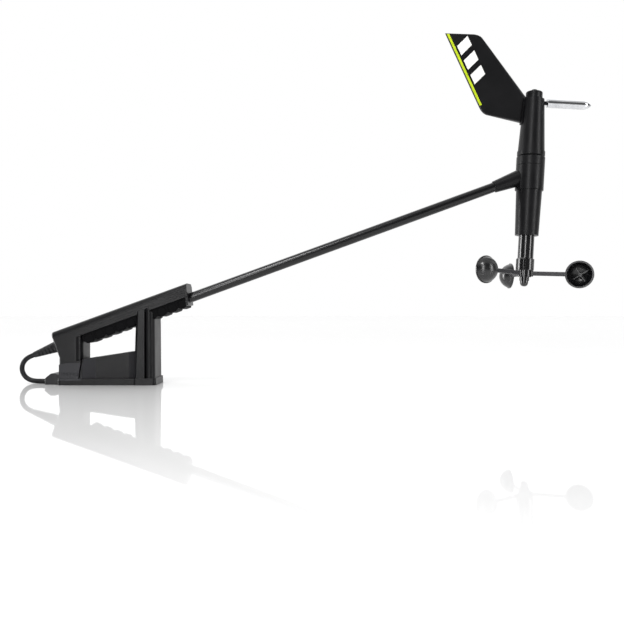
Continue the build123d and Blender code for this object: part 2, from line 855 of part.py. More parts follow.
with BuildPart() as vane_cap:
    turn_on_head(
        (0, vane_shaft_top),
        (vane_shaft_radius, vane_shaft_top),
        (vane_shaft_radius, vane_hub_top),
        (vane_cap_radius, vane_hub_top),
        (vane_cap_radius, vane_cap_top),
        (0, vane_cap_top),
    )
    fillet(vane_cap.faces().sort_by(head_axis)[-1].edges(), radius=vane_cap_edge)
    ring_on_head(0, cap_screw_shank, vane_shaft_top, vane_cap_top, mode=Mode.SUBTRACT)
save(vane_cap.part, "vane_cap")

with BuildPart() as cap_screw:
    ring_on_head(0, cap_screw_radius, vane_cap_top, vane_cap_top + cap_screw_height)
    fillet(cap_screw.faces().sort_by(head_axis)[-1].edges(), radius=cap_screw_edge)
    ring_on_head(0, cap_screw_shank, vane_shaft_top, vane_cap_top)
    with BuildSketch(head_section(vane_cap_top + cap_screw_height)):
        RegularPolygon(screw_socket_radius, 6)
    extrude(amount=-cap_screw_socket_depth, mode=Mode.SUBTRACT)
save(cap_screw.part, "cap_screw")

with BuildPart() as blade_saddle:
    saddle_edge = rotor_direction(180 - saddle_angle / 2)
    profile = fill(
        Plane(origin=head_origin, x_dir=saddle_edge, z_dir=saddle_edge.cross(head_up)),
        (hub_radius_at(saddle_bottom), saddle_bottom),
        (hub_radius_at(saddle_bottom) + saddle_plate, saddle_bottom),
        (hub_radius_at(vane_hub_top) + saddle_plate, vane_hub_top),
        (hub_radius_at(vane_hub_top), vane_hub_top),
    )
    revolve(profile, axis=head_axis, revolution_arc=saddle_angle)
save(blade_saddle.part, "blade_saddle")

# The blade lies in the plane of symmetry. Across its chord it is a foil: thin at the trailing edge,
# thicker ahead, with a rounded nose. Distances are taken across and along the trailing edge.
trailing = Vector(blade_tip[0] - blade_heel[0], blade_tip[1] - blade_heel[1])
trailing_direction = (head_right * trailing.X + head_up * trailing.Y).normalized()
chord_direction = (head_right * trailing.Y - head_up * trailing.X).normalized()
blade_origin = head_origin + head_right * blade_heel[0] + head_up * blade_heel[1]
blade_plane = Plane(origin=blade_origin, x_dir=chord_direction, z_dir=(0, -1, 0))
belly_run = Vector(blade_belly[0] - blade_root_foot[0], blade_belly[1] - blade_root_foot[1])
nose_run = Vector(blade_nose_foot[0] - blade_nose_head[0], blade_nose_foot[1] - blade_nose_head[1])
nose_plane = Plane(
    origin=head_origin + head_right * blade_nose_head[0] + head_up * blade_nose_head[1],
    x_dir=head_right * nose_run.Y - head_up * nose_run.X,
    z_dir=head_right * nose_run.X + head_up * nose_run.Y,
)


def foil(grown, mode):
    """The blade's foil section, grown on both faces, run along the trailing edge."""
    thin = blade_edge_half + grown
    thick = blade_root_half + grown
    with BuildSketch(Plane(origin=blade_origin, x_dir=chord_direction, z_dir=trailing_direction)) as profile:
        with BuildLine():
            Spline((0, thin), (blade_taper_width, thick), tangents=((1, blade_rise), (1, 0)))
            Polyline(
                (blade_taper_width, thick),
                (blade_reach, thick),
                (blade_reach, -thick),
                (blade_taper_width, -thick),
            )
            Spline((blade_taper_width, -thick), (0, -thin), tangents=((-1, 0), (-1, blade_rise)))
            Polyline((0, -thin), (-blade_edge_half, -thin), (-blade_edge_half, thin), (0, thin))
        make_face()
    extrude(profile.sketch, amount=3 * trailing.length, both=True, mode=mode)


with BuildPart() as vane_blade:
    with BuildSketch(head_side):
        with BuildLine():
            Line(blade_tip, blade_crown)
            Spline(blade_crown, blade_nose_head, tangents=((1, 0), tuple(nose_run)[:2]))
            Line(blade_nose_head, blade_nose_foot)
            Polyline(blade_nose_foot, blade_shoulder, blade_root_foot, blade_belly)
            Spline(blade_belly, blade_heel, tangents=(tuple(belly_run)[:2], tuple(trailing)[:2]))
            Line(blade_heel, blade_tip)
        make_face()
    extrude(amount=2 * blade_root_half, both=True)
    foil(0, Mode.INTERSECT)
    with BuildSketch(nose_plane):
        with BuildLine():
            Spline(
                (blade_nose, blade_root_half),
                (0, 0),
                (blade_nose, -blade_root_half),
                tangents=((-1, 0), (1, 0)),
            )
            Polyline(
                (blade_nose, -blade_root_half),
                (blade_reach, -blade_root_half),
                (blade_reach, blade_root_half),
                (blade_nose, blade_root_half),
            )
        make_face()
    extrude(amount=2 * trailing.length, both=True, mode=Mode.INTERSECT)
    # the root stands on the saddle and on the hub's crown
    turn_on_head(
        (0, vane_skirt_top),
        (hub_radius_at(vane_skirt_top) + saddle_plate, vane_skirt_top),
        (hub_radius_at(vane_hub_top) + saddle_plate, vane_hub_top),
        (0, vane_hub_top),
        mode=Mode.SUBTRACT,
    )
    ring_on_head(0, vane_cap_radius, vane_hub_top, vane_cap_top, mode=Mode.SUBTRACT)
save(vane_blade.part, "vane_blade")


def marking(shapes):
    """Thin inlays that follow the blade's two faces."""
    for shape in shapes:
        extrude(fill(blade_plane, *shape), amount=2 * blade_root_half, both=True)
    foil(marking_relief, Mode.INTERSECT)
    foil(0, Mode.SUBTRACT)


with BuildPart() as vane_stripe:
    # its upper end follows the blade's level top edge
    top_slope = trailing.X / trailing.Y
    stripe_outer = stripe_inset + stripe_width
    stripe_top = trailing.length - stripe_end_gap
    marking(
        [
            (
                (stripe_inset, stripe_end_gap),
                (stripe_outer, stripe_end_gap),
                (stripe_outer, stripe_top + top_slope * stripe_outer),
                (stripe_inset, stripe_top + top_slope * stripe_inset),
            )
        ]
    )
save(vane_stripe.part, "vane_stripe")

with BuildPart() as vane_marks:
    bars = []
    for number in range(mark_count):
        low = mark_start + number * mark_pitch
        bars.append(
            (
                (mark_inset, low),
                (mark_inset + mark_width, low + mark_slant),
                (mark_inset + mark_width, low + mark_slant + mark_height),
                (mark_inset, low + mark_height),
            )
        )
    marking(bars)
save(vane_marks.part, "vane_marks")


def turn_on_stem(*points, mode=Mode.ADD):
    """A turned shape about the counterweight's stem, from (distance out, radius) points."""
    plane = Plane(origin=stem_axis.position, x_dir=head_right, z_dir=(0, -1, 0))
    revolve(fill(plane, *points), axis=stem_axis, mode=mode)


with BuildPart() as counterweight_stem:
    turn_on_stem(
        (stem_inner, 0),
        (stem_inner, stem_radius),
        (weight_start + weight_socket, stem_radius),
        (weight_start + weight_socket, 0),
    )
save(counterweight_stem.part, "counterweight_stem")

with BuildPart() as counterweight:
    with BuildSketch(Plane(origin=stem_axis.position, x_dir=head_right, z_dir=(0, -1, 0))):
        with BuildLine():
            Line((weight_start, 0), (weight_start, weight_radius))
            Line((weight_start, weight_radius), (weight_end - weight_point, weight_radius))
            Spline(
                (weight_end - weight_point, weight_radius),
                (weight_end, 0),
                tangents=((1, 0), (0.75, -1)),
            )
            Line((weight_end, 0), (weight_start, 0))
        make_face()
    revolve(axis=stem_axis)
    chamfer(counterweight.edges().filter_by(GeomType.CIRCLE).sort_by(Axis.X)[0], length=weight_edge)
    turn_on_stem(
        (weight_start, 0),
        (weight_start, stem_radius),
        (weight_start + weight_socket, stem_radius),
        (weight_start + weight_socket, 0),
        mode=Mode.SUBTRACT,
    )
save(counterweight.part, "counterweight")


# ---- rotor: everything that turns on the lower shaft ----
def arm_bar(angle, mode):
    """A straight bar that runs outwards from the hub to the middle of its cup."""
    out = rotor_direction(angle)
    across = Plane(origin=head_origin + out * arm_bar_start, x_dir=rotor_direction(angle + 90), z_dir=out)
    with BuildSketch(across) as profile:
        RectangleRounded(arm_bar_width, arm_bar_height, arm_bar_corner)
    extrude(profile.sketch, amount=cup_circle - arm_bar_start, mode=mode)


def cup_plane(angle):
    """The plane that holds a cup's axis: its x points out of the open face, and its y points up."""
    opening = rotor_direction(angle - 90)
    origin = head_origin + rotor_direction(angle) * cup_circle + opening * cup_ahead
    return Plane(origin=origin, x_dir=opening, z_dir=opening.cross(head_up))


cup_sphere = (cup_rim_radius**2 + cup_depth**2) / (2 * cup_depth)


def cup_bowl(angle, thinner, mode):
    """The solid of the cup's bowl, made thinner all round by a wall."""
    plane = cup_plane(angle)
    radius = cup_sphere - thinner
    offset = cup_sphere - cup_depth
    rim = sqrt(radius**2 - offset**2)
    with BuildSketch(plane) as profile:
        with BuildLine():
            Line((0, 0), (0, rim))
            RadiusArc((0, rim), (offset - radius, 0), -radius)
            Line((offset - radius, 0), (0, 0))
        make_face()
    revolve(profile.sketch, axis=Axis(plane.origin, plane.x_dir), mode=mode)


def cup_face(angle):
    """The plane of a cup's rim, facing out of the cup."""
    plane = cup_plane(angle)
    return Plane(origin=plane.origin, x_dir=rotor_direction(angle), z_dir=plane.x_dir)


def cup_rim(angle, mode):
    """The small lip round a cup's rim."""
    with BuildSketch(cup_face(angle)) as profile:
        Circle(cup_rim_radius + cup_lip)
    extrude(profile.sketch, amount=-cup_lip_depth, mode=mode)


with BuildPart() as rotor_shaft:
    ring_on_head(0, rotor_shaft_radius, rotor_shaft_bottom, rotor_shaft_top)
save(rotor_shaft.part, "rotor_shaft")

with BuildPart() as rotor_magnet:
    ring_on_head(rotor_shaft_radius, magnet_radius, rotor_shaft_top - magnet_height, rotor_shaft_top)
save(rotor_magnet.part, "rotor_magnet")

grub_plane = Plane(origin=head_origin + head_up * grub_height, z_dir=head_right)

with BuildPart() as rotor_hub:
    ring_on_head(0, hub_ring_radius, hub_ring_bottom, hub_barrel_bottom)
    for angle in cup_angles:
        with BuildSketch(head_section(hub_root_bottom)):
            with PolarLocations(hub_root_circle, 1, start_angle=angle):
                Circle(hub_root_radius)
        extrude(amount=hub_barrel_bottom - hub_root_bottom)
    turn_on_head(
        (0, hub_barrel_bottom),
        (hub_barrel_radius, hub_barrel_bottom),
        (hub_barrel_radius, hub_barrel_top - hub_chamfer),
        (hub_barrel_radius - hub_chamfer, hub_barrel_top),
        (0, hub_barrel_top),
    )
    with BuildSketch(head_section(hub_barrel_bottom)):
        with PolarLocations(hub_barrel_radius, hub_flute_count, start_angle=cup_angles[0] + 30):
            Circle(hub_flute_radius)
    extrude(amount=hub_barrel_top - hub_barrel_bottom, mode=Mode.SUBTRACT)
    ring_on_head(0, rotor_shaft_radius, hub_ring_bottom, hub_barrel_top, mode=Mode.SUBTRACT)
    for angle in cup_angles:
        arm_bar(angle, Mode.SUBTRACT)
    with BuildSketch(grub_plane):
        Circle(grub_radius)
    extrude(amount=hub_barrel_radius, mode=Mode.SUBTRACT)
save(rotor_hub.part, "rotor_hub")

with BuildPart() as hub_grub_screw:
    with BuildSketch(grub_plane.offset(rotor_shaft_radius)):
        Circle(grub_radius)
    extrude(amount=grub_length)
save(hub_grub_screw.part, "hub_grub_screw")

with BuildPart() as nose_nut:
    with BuildSketch(head_side):
        with BuildLine():
            Polyline(
                (0, hub_ring_bottom),
                (nose_collar_radius, hub_ring_bottom),
                (nose_collar_radius, nose_collar_bottom),
                (nose_radius, nose_collar_bottom),
                (nose_radius, nose_shoulder),
            )
            Spline((nose_radius, nose_shoulder), (0, nose_tip), tangents=((0, -1), (-1, 0)))
            Line((0, nose_tip), (0, hub_ring_bottom))
        make_face()
    revolve(axis=head_axis)
    ring_on_head(0, rotor_shaft_radius, rotor_shaft_bottom, hub_ring_bottom, mode=Mode.SUBTRACT)
save(nose_nut.part, "nose_nut")

for number, angle in enumerate(cup_angles, 1):
    with BuildPart() as cup_arm:
        arm_bar(angle, Mode.ADD)
        cup_bowl(angle, 0, Mode.SUBTRACT)
        cup_rim(angle, Mode.SUBTRACT)
    keep = cup_arm.part.solids().sort_by(Axis(head_origin, rotor_direction(angle)))[0]
    save(Part([keep]), f"cup_arm_{number}")

    with BuildPart() as cross:
        with BuildSketch(cup_face(angle).offset(-cup_rib_level)):
            for turn in (cup_rib_turn, cup_rib_turn + 90):
                with Locations(Location((0, 0, 0), (0, 0, turn))):
                    Rectangle(2 * cup_rib_half_length, cup_rib_width)
        extrude(amount=cup_rib_level - cup_depth)
        with BuildSketch(cup_face(angle).offset(-cup_boss_level)):
            Circle(cup_boss_radius)
        extrude(amount=cup_boss_level - cup_depth)
        cup_bowl(angle, cup_wall / 2, Mode.INTERSECT)
    with BuildPart() as cup:
        cup_bowl(angle, 0, Mode.ADD)
        cup_rim(angle, Mode.ADD)
        cup_bowl(angle, cup_wall, Mode.SUBTRACT)
        add(cross.part)
    save(cup.part, f"cup_{number}")
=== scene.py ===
import json
import math
import bpy
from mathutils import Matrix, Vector


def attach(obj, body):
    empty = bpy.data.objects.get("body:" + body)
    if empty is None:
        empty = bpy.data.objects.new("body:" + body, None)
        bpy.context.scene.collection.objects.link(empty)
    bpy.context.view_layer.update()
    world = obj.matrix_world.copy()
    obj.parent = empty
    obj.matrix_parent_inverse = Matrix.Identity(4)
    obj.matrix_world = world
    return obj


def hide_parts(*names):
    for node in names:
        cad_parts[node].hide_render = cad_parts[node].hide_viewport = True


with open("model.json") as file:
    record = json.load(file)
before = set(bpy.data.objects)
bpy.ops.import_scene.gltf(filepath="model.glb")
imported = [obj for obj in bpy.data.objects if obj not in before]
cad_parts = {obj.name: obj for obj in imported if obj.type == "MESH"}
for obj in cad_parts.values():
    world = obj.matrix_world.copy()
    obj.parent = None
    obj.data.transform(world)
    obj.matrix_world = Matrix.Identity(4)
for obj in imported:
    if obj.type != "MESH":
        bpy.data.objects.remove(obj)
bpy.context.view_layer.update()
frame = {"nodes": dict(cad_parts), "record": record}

nodes = frame["nodes"]
scene = bpy.context.scene
mm = 0.001
tiltOfHead = math.radians(3.1)
tiltOfArm = math.radians(20.05)


def srgb(hexCode):
    # hex colour to the linear values that the shaders take
    channels = [int(hexCode[i:i + 2], 16) / 255 for i in (1, 3, 5)]
    return tuple(c / 12.92 if c <= 0.04045 else ((c + 0.055) / 1.055) ** 2.4 for c in channels) + (1.0,)


def addNode(tree, kind, settings=None, **inputs):
    # one node: its settings, then its inputs by name or as i0, i1..., where a socket is linked and a value is set
    new = tree.nodes.new(kind)
    for name, value in (settings or {}).items():
        setattr(new, name, value)
    for name, value in inputs.items():
        byNumber = name[0] == "i" and name[1:].isdigit()
        socket = new.inputs[int(name[1:]) if byNumber else name]
        if isinstance(value, bpy.types.NodeSocket):
            tree.links.new(value, socket)
        else:
            socket.default_value = value
    return new


def aim(obj, target):
    obj.rotation_euler = (Vector(target) - obj.location).to_track_quat("-Z", "Y").to_euler()


# ---- camera ----
cameraSetup = {"place": (0.2070, -0.7385, 0.0740), "lens": 41.16, "sensor": 36.0, "nearest": 0.01, "furthest": 60}
cameraData = bpy.data.cameras.new("camera")
cameraData.lens = cameraSetup["lens"]
cameraData.sensor_width = cameraSetup["sensor"]
cameraData.clip_start = cameraSetup["nearest"]
cameraData.clip_end = cameraSetup["furthest"]
camera = bpy.data.objects.new("camera", cameraData)
camera.location = cameraSetup["place"]
camera.rotation_euler = (math.radians(90), 0, 0)
scene.collection.objects.link(camera)
scene.camera = camera
print("camera placed")

# ---- mast cable: out of its plug, round in a tight loop and into the boot at the foot ----
mastCable = {
    # the route is in millimetres
    "diameter": 5.0 * mm,
    "length": 55.3 * mm,
    "exit": (-0.08032, 0.0, 0.02969),
    "route": [
        (-80.32, 0.0, 29.69),
        (-85.2, 0.0, 27.9),
        (-90.7, 0.2, 23.9),
        (-93.6, 0.6, 17.9),
        (-93.1, 0.9, 11.4),
        (-89.5, 0.9, 6.1),
        (-84.0, 0.6, 3.2),
        (-77.9, 0.4, 2.5),
        (-71.9, 0.0, 2.5),
        (-66.0, 0.0, 2.5),
    ],
}
cableCurve = bpy.data.curves.new("mastCableLine", "CURVE")
cableCurve.dimensions = "3D"
cableCurve.bevel_depth = mastCable["diameter"] / 2
cableCurve.bevel_resolution = 8
cableCurve.resolution_u = 16
cableSpline = cableCurve.splines.new("NURBS")
cableSpline.points.add(len(mastCable["route"]) - 1)
for point, (x, y, z) in zip(cableSpline.points, mastCable["route"]):
    point.co = (x * mm, y * mm, z * mm, 1.0)
cableSpline.order_u = 3
cableSpline.use_endpoint_u = True
cableLine = bpy.data.objects.new("mastCableLine", cableCurve)
scene.collection.objects.link(cableLine)
viewState = bpy.context.evaluated_depsgraph_get()
sheath = bpy.data.meshes.new_from_object(cableLine.evaluated_get(viewState))
sheath.shade_smooth()
bpy.data.objects.remove(cableLine)
cable = bpy.data.objects.new("mastCableSheath", sheath)
scene.collection.objects.link(cable)
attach(cable, "mast_unit")
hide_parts("mast_cable")
print("cable laid")


# ---- materials ----
def surface(name):
    # an empty material with its output and one Principled shader
    material = bpy.data.materials.new(name)
    material.use_nodes = True
    tree = material.node_tree
    tree.nodes.clear()
    shader = addNode(tree, "ShaderNodeBsdfPrincipled")
    addNode(tree, "ShaderNodeOutputMaterial", Surface=shader.outputs["BSDF"])
    return material, tree, shader


def objectPlace(tree, scale=(1, 1, 1), turn=(0, 0, 0)):
    # the object's own coordinates in metres, stretched and turned for a pattern
    place = addNode(tree, "ShaderNodeTexCoord")
    return addNode(
        tree, "ShaderNodeMapping", Vector=place.outputs["Object"], Rotation=turn, Scale=scale
    ).outputs["Vector"]


def plug(tree, shader, name, value):
    tree.links.new(value, shader.inputs[name])


def paintedLightMask(tree, low, high):
    # one inside a box given in millimetres, nothing outside it; it places painted light
    place = addNode(tree, "ShaderNodeTexCoord").outputs["Object"]
    axes = addNode(tree, "ShaderNodeSeparateXYZ", Vector=place).outputs
    mask = 1.0
    for compare, corner in (("GREATER_THAN", low), ("LESS_THAN", high)):
        for axis, limit in zip("XYZ", corner):
            inside = addNode(tree, "ShaderNodeMath", {"operation": compare}, i0=axes[axis], i1=limit * mm)
            both = addNode(tree, "ShaderNodeMath", {"operation": "MULTIPLY"}, i0=mask, i1=inside.outputs[0])
            mask = both.outputs[0]
    return mask


# the middle part of a noise's range, where nearly all of it lies
noiseLow, noiseHigh = 0.3, 0.7


def mouldedPlastic(name, look):
    # injection-moulded plastic: the eye sees a fine spark-eroded grain, soft flow marks in the sheen,
    # dull rubbed patches and slightly rounded edges that catch the light
    material, tree, shader = surface(name)
    place = objectPlace(tree)
    flow = addNode(
        tree, "ShaderNodeTexNoise", Vector=place,
        Scale=1 / (look["flowSize"] * mm), Detail=3.0, Roughness=0.55,
    )
    grain = addNode(
        tree, "ShaderNodeTexNoise", Vector=place,
        Scale=1 / (look["grainSize"] * mm), Detail=2.0, Roughness=0.6,
    )
    # rubbed patches are drawn out one way, at a slant
    scuff = addNode(
        tree, "ShaderNodeTexNoise",
        Vector=objectPlace(tree, (1, 1, 7), (0.3, 0.9, 0.2)),
        Scale=1 / (look["scuffSize"] * mm), Detail=4.0, Roughness=0.7,
    )
    tone = addNode(tree, "ShaderNodeValToRGB", Fac=flow.outputs["Fac"])
    for element, position, shade in zip(tone.color_ramp.elements, (noiseLow, 0.72), ("dark", "light")):
        element.position = position
        element.color = srgb(look[shade])
    speckAmount = look.get("speck", 0.2)
    speck = addNode(
        tree, "ShaderNodeMapRange", Value=grain.outputs["Fac"],
        i1=noiseLow, i2=noiseHigh, i3=1 - speckAmount, i4=1 + speckAmount,
    )
    colour = addNode(
        tree, "ShaderNodeMix", {"data_type": "RGBA", "blend_type": "MULTIPLY"},
        i0=1.0, i6=tone.outputs["Color"], i7=speck.outputs["Result"],
    )
    body = colour.outputs[2]
    # painted light: each listed box is painted a lighter grey, standing in for light caught by those faces
    for low, high, shade in look.get("paintedLitPanels", ()):
        body = addNode(
            tree, "ShaderNodeMix", {"data_type": "RGBA"},
            i0=paintedLightMask(tree, low, high), i6=body, i7=srgb(shade),
        ).outputs[2]
    plug(tree, shader, "Base Color", body)
    sheenBand = addNode(
        tree, "ShaderNodeMapRange", Value=flow.outputs["Fac"], i1=noiseLow, i2=noiseHigh,
        i3=look["roughness"] - look["roughSpread"], i4=look["roughness"] + look["roughSpread"],
    )
    rubbed = addNode(
        tree, "ShaderNodeMapRange", Value=scuff.outputs["Fac"],
        i1=0.58, i2=0.75, i3=0.0, i4=look["scuffDepth"],
    )
    rough = addNode(
        tree, "ShaderNodeMath", {"operation": "ADD"},
        i0=sheenBand.outputs["Result"], i1=rubbed.outputs["Result"],
    )
    plug(tree, shader, "Roughness", rough.outputs["Value"])
    rounded = addNode(tree, "ShaderNodeBevel", {"samples": 8}, Radius=look["edge"] * mm)
    relief = addNode(
        tree, "ShaderNodeBump", Height=grain.outputs["Fac"], Normal=rounded.outputs["Normal"],
        Strength=look["grainStrength"], Distance=look["grainDepth"] * mm,
    )
    plug(tree, shader, "Normal", relief.outputs["Normal"])
    shader.inputs["IOR"].default_value = look["ior"]
    shader.inputs["Specular IOR Level"].default_value = look["sheen"]
    shader.inputs["Coat Weight"].default_value = look["coat"]
    shader.inputs["Coat Roughness"].default_value = look["coatRoughness"]
    return material


# sizes in each look are in millimetres
satinAbs = mouldedPlastic("mouldedAbsSatin", {
    # ABS from a lightly textured mould: a deep black with broad soft highlights
    "dark": "#08080a", "light": "#0f0f11", "roughness": 0.36, "roughSpread": 0.04, "sheen": 0.22, "ior": 1.5,
    "flowSize": 26.0, "grainSize": 0.9, "grainStrength": 0.14, "grainDepth": 0.04,
    "scuffSize": 9.0, "scuffDepth": 0.08, "edge": 0.16, "coat": 0.0, "coatRoughness": 0.2,
})
glossNylon = mouldedPlastic("mouldedNylonGloss", {
    # a polished mould leaves the rotor smooth, with sharp highlights
    "dark": "#070709", "light": "#0c0c0e", "roughness": 0.2, "roughSpread": 0.02, "sheen": 0.55, "ior": 1.53,
    "flowSize": 14.0, "grainSize": 3.5, "grainStrength": 0.02, "grainDepth": 0.02,
    "scuffSize": 9.0, "scuffDepth": 0.04, "edge": 0.06, "coat": 0.2, "coatRoughness": 0.1,
})
footAbs = mouldedPlastic("mouldedAbsFoot", {
    # the foot's facet panels carry painted light: listed boxes are painted a lighter grey where those faces catch
    # the light
    "dark": "#08080a", "light": "#0f0f11", "roughness": 0.38, "roughSpread": 0.04, "sheen": 0.22, "ior": 1.5,
    "flowSize": 26.0, "grainSize": 0.9, "grainStrength": 0.14, "grainDepth": 0.04,
    "scuffSize": 9.0, "scuffDepth": 0.08, "edge": 0.3, "coat": 0.0, "coatRoughness": 0.2,
    "paintedLitPanels": [
        ((-60, -40, 4.5), (-26, 40, 22.5), "#2e2e31"),
        ((-25, -40, 7), (-12.5, 40, 40), "#29292c"),
        ((21.5, -40, 7), (29, 40, 40), "#202023"),
    ],
})
paintedLitArmNylon = mouldedPlastic("mouldedNylonArmPaintedLight", {
    # glass-filled nylon bars with a paler grey base: painted light, standing in for the light their flat faces catch
    "dark": "#242426", "light": "#303033", "roughness": 0.36, "roughSpread": 0.04, "sheen": 0.4, "ior": 1.55,
    "flowSize": 10.0, "grainSize": 0.9, "grainStrength": 0.1, "grainDepth": 0.03,
    "scuffSize": 6.0, "scuffDepth": 0.05, "edge": 0.35, "coat": 0.0, "coatRoughness": 0.2,
})
cupNylon = mouldedPlastic("mouldedNylonCup", {
    # thin cup walls from a polished mould: broad soft highlights on a deep black
    "dark": "#070709", "light": "#0c0c0e", "roughness": 0.27, "roughSpread": 0.02, "sheen": 0.6, "ior": 1.55,
    "flowSize": 18.0, "grainSize": 3.5, "grainStrength": 0.02, "grainDepth": 0.02,
    "scuffSize": 9.0, "scuffDepth": 0.04, "edge": 0.08, "coat": 0.0, "coatRoughness": 0.1,
})
gripElastomer = mouldedPlastic("overmouldedElastomer", {
    # a soft grip moulded over the bar: duller, with a coarser dry grain
    "dark": "#060607", "light": "#0b0b0d", "roughness": 0.62, "roughSpread": 0.05, "sheen": 0.08, "ior": 1.45,
    "flowSize": 12.0, "grainSize": 0.8, "grainStrength": 0.2, "grainDepth": 0.05,
    "scuffSize": 5.0, "scuffDepth": 0.1, "edge": 0.15, "coat": 0.0, "coatRoughness": 0.3,
})
bladeAbs = mouldedPlastic("mouldedAbsBlade", {
    # the blade's mould is finer and its edges are drawn round, so light turns slowly over them
    "dark": "#08080a", "light": "#0d0d0f", "roughness": 0.3, "roughSpread": 0.03, "sheen": 0.4, "ior": 1.5,
    "flowSize": 40.0, "grainSize": 1.0, "grainStrength": 0.12, "grainDepth": 0.04,
    "scuffSize": 14.0, "scuffDepth": 0.06, "edge": 2.2, "coat": 0.2, "coatRoughness": 0.15,
})
cablePvc = mouldedPlastic("extrudedPvcSheath", {
    # extruded sheath: an even dull black with long faint draw marks
    "dark": "#101012", "light": "#1b1b1e", "roughness": 0.4, "roughSpread": 0.06, "sheen": 0.22, "ior": 1.53,
    "flowSize": 5.0, "grainSize": 0.7, "grainStrength": 0.25, "grainDepth": 0.05,
    "scuffSize": 3.0, "scuffDepth": 0.1, "edge": 0.2, "coat": 0.0, "coatRoughness": 0.3,
})
plugRubber = mouldedPlastic("mouldedStrainReliefRubber", {
    # moulded rubber: softer sheen, with a dry coarse grain
    "dark": "#0e0e10", "light": "#19191c", "roughness": 0.44, "roughSpread": 0.06, "sheen": 0.4, "ior": 1.5,
    "flowSize": 7.0, "grainSize": 0.7, "grainStrength": 0.3, "grainDepth": 0.06,
    "scuffSize": 4.0, "scuffDepth": 0.1, "edge": 0.4, "coat": 0.0, "coatRoughness": 0.3,
})
sealSilicone = mouldedPlastic("mouldedSiliconeSeal", {
    # silicone ring: a dull dark grey between glossier pieces
    "dark": "#2a2a2d", "light": "#39393c", "roughness": 0.5, "roughSpread": 0.05, "sheen": 0.4, "ior": 1.42,
    "flowSize": 6.0, "grainSize": 0.6, "grainStrength": 0.15, "grainDepth": 0.04,
    "scuffSize": 4.0, "scuffDepth": 0.05, "edge": 0.2, "coat": 0.0, "coatRoughness": 0.3,
})
stripeInk = mouldedPlastic("screenPrintedLimeInk", {
    # screen-printed ink: a solid bright film with a faint orange-peel sheen
    "dark": "#b3c81c", "light": "#c6da2c", "roughness": 0.32, "roughSpread": 0.04, "sheen": 0.4, "ior": 1.5,
    "flowSize": 9.0, "grainSize": 1.2, "grainStrength": 0.12, "grainDepth": 0.03,
    "scuffSize": 6.0, "scuffDepth": 0.05, "speck": 0.03, "edge": 0.1, "coat": 0.0, "coatRoughness": 0.2,
})
markInk = mouldedPlastic("screenPrintedWhiteInk", {
    # the same print in white, flat and even
    "dark": "#e4e4e1", "light": "#f1f1ee", "roughness": 0.34, "roughSpread": 0.04, "sheen": 0.4, "ior": 1.5,
    "flowSize": 9.0, "grainSize": 1.2, "grainStrength": 0.12, "grainDepth": 0.03,
    "scuffSize": 6.0, "scuffDepth": 0.05, "speck": 0.02, "edge": 0.1, "coat": 0.0, "coatRoughness": 0.2,
})
boardLaminate = mouldedPlastic("glassEpoxyLaminate", {
    # circuit board: green solder mask over a woven laminate
    "dark": "#0d4a2a", "light": "#12603a", "roughness": 0.35, "roughSpread": 0.04, "sheen": 0.4, "ior": 1.55,
    "flowSize": 3.0, "grainSize": 0.8, "grainStrength": 0.2, "grainDepth": 0.04,
    "scuffSize": 4.0, "scuffDepth": 0.05, "edge": 0.1, "coat": 0.3, "coatRoughness": 0.1,
})


ringDepth = 0.02 * mm


def turnedMetal(name, look):
    # lathe-turned or drawn metal: fine rings across its axis stretch each highlight, and the tone
    # drifts a little over the piece
    material, tree, shader = surface(name)
    place = objectPlace(tree, look["stretch"], look["turn"])
    rings = addNode(
        tree, "ShaderNodeTexNoise", Vector=place,
        Scale=1 / (look["ringPitch"] * mm), Detail=2.0, Roughness=0.5,
    )
    cloud = addNode(
        tree, "ShaderNodeTexNoise", Vector=objectPlace(tree),
        Scale=1 / (look["cloudSize"] * mm), Detail=3.0, Roughness=0.6,
    )
    tone = addNode(tree, "ShaderNodeValToRGB", Fac=cloud.outputs["Fac"])
    for element, position, shade in zip(tone.color_ramp.elements, (noiseLow, noiseHigh), ("dark", "light")):
        element.position = position
        element.color = srgb(look[shade])
    plug(tree, shader, "Base Color", tone.outputs["Color"])
    rough = addNode(
        tree, "ShaderNodeMapRange", Value=rings.outputs["Fac"], i1=noiseLow, i2=noiseHigh,
        i3=look["roughness"] - look["roughSpread"], i4=look["roughness"] + look["roughSpread"],
    )
    plug(tree, shader, "Roughness", rough.outputs["Result"])
    rounded = addNode(tree, "ShaderNodeBevel", {"samples": 4}, Radius=look["edge"] * mm)
    relief = addNode(
        tree, "ShaderNodeBump", Height=rings.outputs["Fac"], Normal=rounded.outputs["Normal"],
        Strength=look["ringStrength"], Distance=ringDepth,
    )
    plug(tree, shader, "Normal", relief.outputs["Normal"])
    shader.inputs["Metallic"].default_value = look["metallic"]
    return material


polishedSteel = turnedMetal("turnedPolishedSteel", {
    # turned and polished: a clear mirror, only faintly broken by tool rings
    "dark": "#c6c7ca", "light": "#e2e3e5", "metallic": 1.0, "roughness": 0.1, "roughSpread": 0.03,
    "stretch": (1, 0.02, 0.02), "turn": (0, tiltOfHead, 0), "ringPitch": 0.8, "ringStrength": 0.015,
    "cloudSize": 12.0, "edge": 0.3,
})
stainlessSteel = turnedMetal("drawnStainlessSteel", {
    # drawn rod and turned bearings: greyer, with highlights blurred along the grain
    "dark": "#8f9194", "light": "#b9bbbe", "metallic": 1.0, "roughness": 0.26, "roughSpread": 0.06,
    "stretch": (1, 1, 0.05), "turn": (0, 0, 0), "ringPitch": 0.4, "ringStrength": 0.15,
    "cloudSize": 6.0, "edge": 0.2,
})
blackOxideSteel = turnedMetal("blackOxideSteel", {
    # blackened fasteners: dark, with a dull metal sheen
    "dark": "#1c1c1e", "light": "#2a2a2c", "metallic": 1.0, "roughness": 0.34, "roughSpread": 0.05,
    "stretch": (1, 1, 0.05), "turn": (0, 0, 0), "ringPitch": 0.5, "ringStrength": 0.04,
    "cloudSize": 5.0, "edge": 0.2,
})
